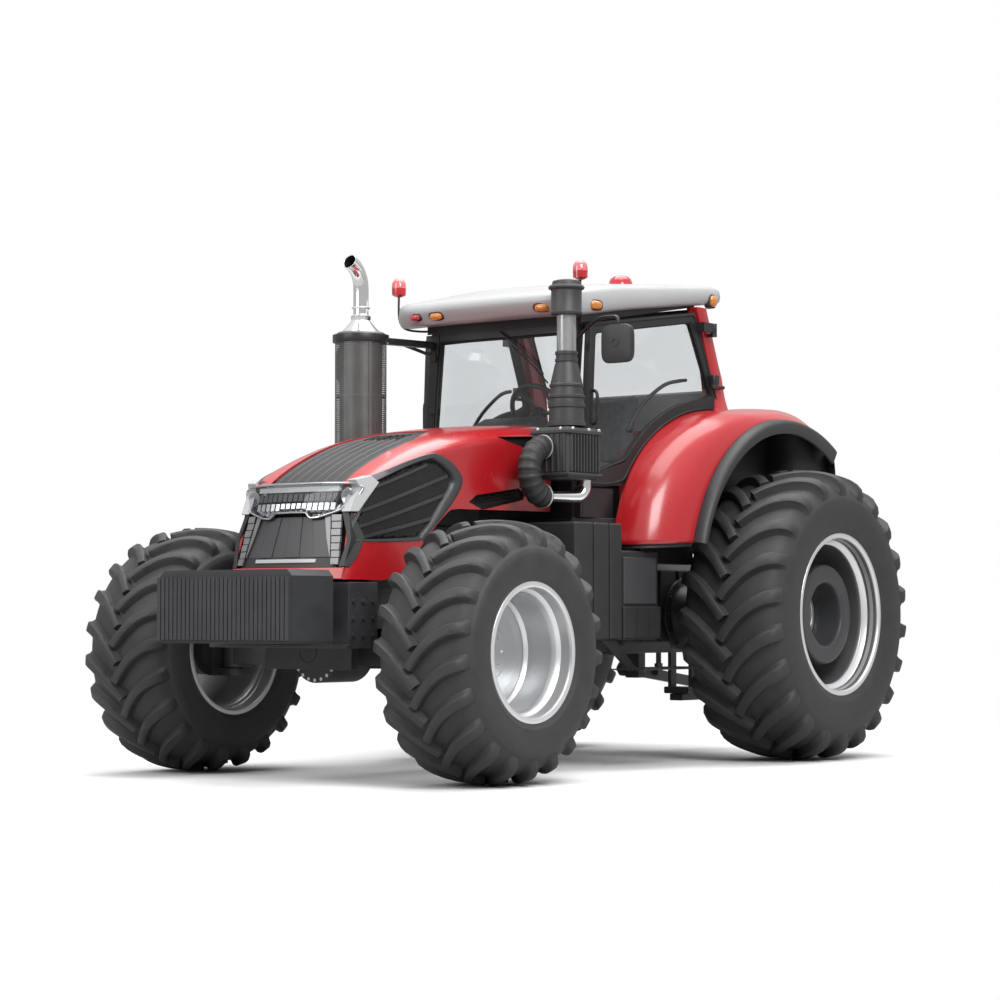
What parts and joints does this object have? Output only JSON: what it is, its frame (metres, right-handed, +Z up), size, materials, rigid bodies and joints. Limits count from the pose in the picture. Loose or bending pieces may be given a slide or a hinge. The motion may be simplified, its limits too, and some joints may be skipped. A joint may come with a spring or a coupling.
{
  "type": "farm tractor",
  "caption": "Four-wheel-drive farm tractor with a glazed cab, tilting hood, front ballast, steered front wheels and a rear three-point hitch.",
  "frame": {"origin": "middle of the footprint on the ground", "axes": "+X forward, +Y to the left, +Z up"},
  "size_m": [5.2912, 2.888, 3.06],
  "materials": {
    "chassis_paint": "satin paint",
    "weight_paint": "matt paint",
    "black_plastic": "fine grain",
    "grey_plastic": "fine grain",
    "black_steel": "satin paint",
    "body_red": "gloss paint",
    "window_glass": "clear",
    "roof_white": "gloss",
    "amber_lens": "clear lens",
    "red_lens": "clear lens",
    "bright_chrome": "polished",
    "hose_rubber": "ribbed",
    "seat_fabric": "woven",
    "bare_steel": "machined",
    "rim_silver": "silver paint",
    "tyre_rubber": "moulded"
  },
  "bodies": {
    "chassis": {"front_frame": "chassis_paint", "front_weights": "weight_paint", "engine_block": "chassis_paint", "gearbox_housing": "chassis_paint", "front_axle": "chassis_paint", "fuel_tanks": "black_plastic", "steps": "black_steel", "cab_floor": "black_plastic", "cab_front_frame": "black_steel", "cab_rear_frame": "body_red", "windscreen": "window_glass", "rear_window": "window_glass", "roof": "roof_white", "roof_lamps": "amber_lens", "beacon": "red_lens", "marker_lamps": "red_lens", "fenders": "body_red", "fender_flares": "black_plastic", "exhaust_muffler": "black_steel", "exhaust_pipe": "bright_chrome", "exhaust_bracket": "black_steel", "air_cleaner": "black_plastic", "intake_stack": "grey_plastic", "intake_hose": "hose_rubber", "intake_pipe": "bright_chrome", "seat": "seat_fabric", "dashboard": "black_plastic", "steering_wheel": "black_plastic", "mirrors": "black_plastic", "drawbar": "chassis_paint", "pto_shaft": "bare_steel", "top_link": "chassis_paint"},
    "hood": {"hood_shell": "body_red", "hood_vent": "black_plastic", "nose_grille": "grey_plastic", "side_grilles": "black_plastic", "headlamps": "bright_chrome"},
    "left_door": {"door_left": "black_steel", "door_glass_left": "window_glass"},
    "right_door": {"door_right": "black_steel", "door_glass_right": "window_glass"},
    "left_knuckle": {"knuckle_left": "chassis_paint"},
    "right_knuckle": {"knuckle_right": "chassis_paint"},
    "hitch_links": {"lower_links": "chassis_paint"},
    "hitch_arms": {"lift_arms": "chassis_paint"},
    "hitch_rods": {"lift_rods": "chassis_paint"},
    "wheel_front_left": {"rim_front_left": "rim_silver", "tyre_front_left": "tyre_rubber"},
    "wheel_front_right": {"rim_front_right": "rim_silver", "tyre_front_right": "tyre_rubber"},
    "wheel_rear_left": {"rim_rear_left": "rim_silver", "tyre_rear_left": "tyre_rubber"},
    "wheel_rear_right": {"rim_rear_right": "rim_silver", "tyre_rear_right": "tyre_rubber"}
  },
  "joints": [
    {"name": "steer_left", "type": "hinge", "parent": "chassis", "child": "left_knuckle", "pos_m": [1.70063, 0.76, 0.7], "axis": [0, 0, 1], "range_deg": [-25, 25]},
    {"name": "steer_right", "type": "hinge", "parent": "chassis", "child": "right_knuckle", "pos_m": [1.70063, -0.76, 0.7], "axis": [0, 0, 1], "range_deg": [-25, 25]},
    {"name": "hood_tilt", "type": "hinge", "parent": "chassis", "child": "hood", "pos_m": [0.36062, 0, 1.96], "axis": [0, -1, 0], "range_deg": [0, 45]},
    {"name": "door_left_swing", "type": "hinge", "parent": "chassis", "child": "left_door", "pos_m": [-0.97437, 0.765, 2.35], "axis": [0, 0, 1], "range_deg": [0, 70]},
    {"name": "door_right_swing", "type": "hinge", "parent": "chassis", "child": "right_door", "pos_m": [-0.97437, -0.765, 2.35], "axis": [0, 0, -1], "range_deg": [0, 70]},
    {"name": "hitch_lift", "type": "hinge", "parent": "chassis", "child": "hitch_links", "pos_m": [-1.70437, 0, 0.54], "axis": [0, 1, 0], "range_deg": [-8, 30]},
    {"name": "arm_lift", "type": "hinge", "parent": "chassis", "child": "hitch_arms", "pos_m": [-1.63437, 0, 1.15], "axis": [0, 1, 0], "range_deg": [-8, 30]},
    {"name": "rod_swing", "type": "hinge", "parent": "hitch_arms", "child": "hitch_rods", "pos_m": [-2.06438, 0, 1.09], "axis": [0, 1, 0], "range_deg": [-30, 8]},
    {"name": "spin_front_left", "type": "hinge", "parent": "left_knuckle", "child": "wheel_front_left", "pos_m": [1.70063, 1.055, 0.7], "axis": [0, 1, 0], "continuous": true},
    {"name": "spin_front_right", "type": "hinge", "parent": "right_knuckle", "child": "wheel_front_right", "pos_m": [1.70063, -1.055, 0.7], "axis": [0, 1, 0], "continuous": true},
    {"name": "spin_rear_left", "type": "hinge", "parent": "chassis", "child": "wheel_rear_left", "pos_m": [-1.40437, 1.09, 0.9], "axis": [0, 1, 0], "continuous": true},
    {"name": "spin_rear_right", "type": "hinge", "parent": "chassis", "child": "wheel_rear_right", "pos_m": [-1.40437, -1.09, 0.9], "axis": [0, 1, 0], "continuous": true}
  ],
  "couplings": [
    {"joint": "steer_right", "follows": "steer_left", "ratio": 1},
    {"joint": "arm_lift", "follows": "hitch_lift", "ratio": 1},
    {"joint": "rod_swing", "follows": "hitch_lift", "ratio": -1}
  ]
}
